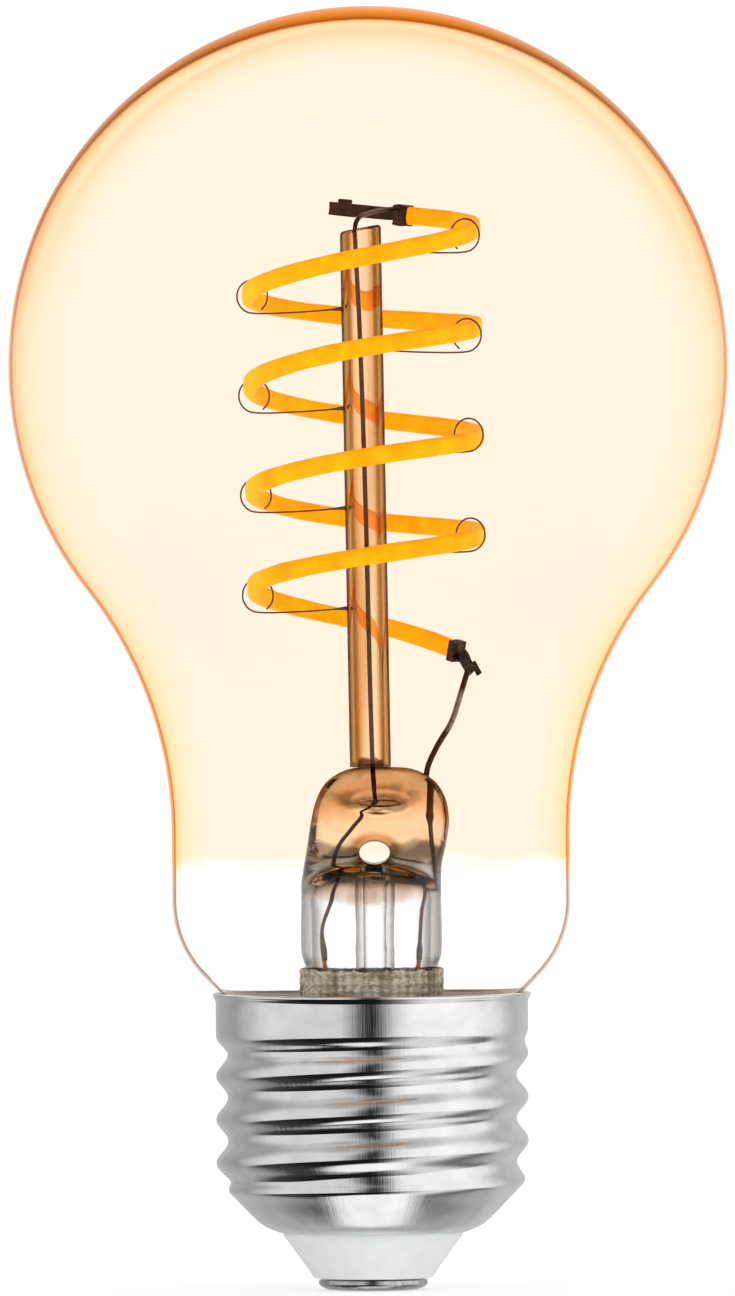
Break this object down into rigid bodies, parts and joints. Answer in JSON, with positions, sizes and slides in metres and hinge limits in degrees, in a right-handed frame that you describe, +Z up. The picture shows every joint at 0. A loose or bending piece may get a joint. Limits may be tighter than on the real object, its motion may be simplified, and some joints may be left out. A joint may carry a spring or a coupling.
{
  "type": "smart light bulb",
  "caption": "Pear-shaped amber glass bulb with a spiral LED filament on a glass stem, and a screw base that holds its driver and radio module.",
  "frame": {"origin": "centre of the end contact's flat face, the lowest point of the lamp", "axes": "+Z up the lamp's axis from the end contact to the crown; the stem's flat pinch faces -Y, the front, and +X is the front's right"},
  "size_m": [0.0598, 0.0598, 0.107],
  "materials": {
    "amber_glass": "clear blown glass, amber coated down to the neck, polished",
    "clear_glass": "clear stem glass, fire polished",
    "phosphor_coat": "orange-yellow phosphor in clear silicone, satin",
    "polyimide": "flexible strip, satin",
    "terminal_metal": "oxidised dark metal",
    "anchor_wire": "fine drawn wire",
    "nickel_wire": "drawn nickel, partly oxidised",
    "copper_clad_wire": "copper-clad sealing wire, borated red-brown",
    "copper": "bare copper",
    "cap_metal": "nickel-plated rolled sheet, bright",
    "insulator": "glossy white",
    "solder": "tinned",
    "cement": "hard basing cement, rough",
    "glass_fibre": "varnished woven glass sleeve",
    "circuit_board": "green solder mask",
    "module_board": "blue solder mask",
    "package_black": "moulded package",
    "can_metal": "tinned sheet",
    "capacitor_sleeve": "shrink sleeve",
    "ferrite": "ground ferrite",
    "resistor_body": "lacquered",
    "wire_red": "insulated wire",
    "wire_blue": "insulated wire"
  },
  "bodies": {
    "root": {"glass_envelope": "amber_glass", "glass_stem": "clear_glass", "exhaust_tube": "clear_glass", "support_tube": "clear_glass", "led_filament": "phosphor_coat", "filament_substrate": "polyimide", "filament_terminal_top": "terminal_metal", "filament_terminal_bottom": "terminal_metal", "filament_anchor_right_1": "anchor_wire", "filament_anchor_right_2": "anchor_wire", "filament_anchor_right_3": "anchor_wire", "filament_anchor_right_4": "anchor_wire", "filament_anchor_left_1": "anchor_wire", "filament_anchor_left_2": "anchor_wire", "filament_anchor_left_3": "anchor_wire", "filament_anchor_left_4": "anchor_wire", "inner_lead_left": "nickel_wire", "inner_lead_right": "nickel_wire", "sealed_lead_left": "copper_clad_wire", "sealed_lead_right": "copper_clad_wire", "outer_lead_left": "copper", "outer_lead_right": "copper", "screw_shell": "cap_metal", "base_insulator": "insulator", "centre_contact": "cap_metal", "contact_pin": "solder", "base_cement_ring": "cement", "insulating_sleeve": "glass_fibre", "driver_board": "circuit_board", "bridge_rectifier": "package_black", "driver_chip": "package_black", "bulk_capacitor": "capacitor_sleeve", "power_inductor": "ferrite", "fusible_resistor": "resistor_body", "radio_module_board": "module_board", "radio_shield_can": "can_metal", "radio_antenna": "copper", "live_wire": "wire_red", "neutral_wire": "wire_blue"}
  },
  "joints": []
}
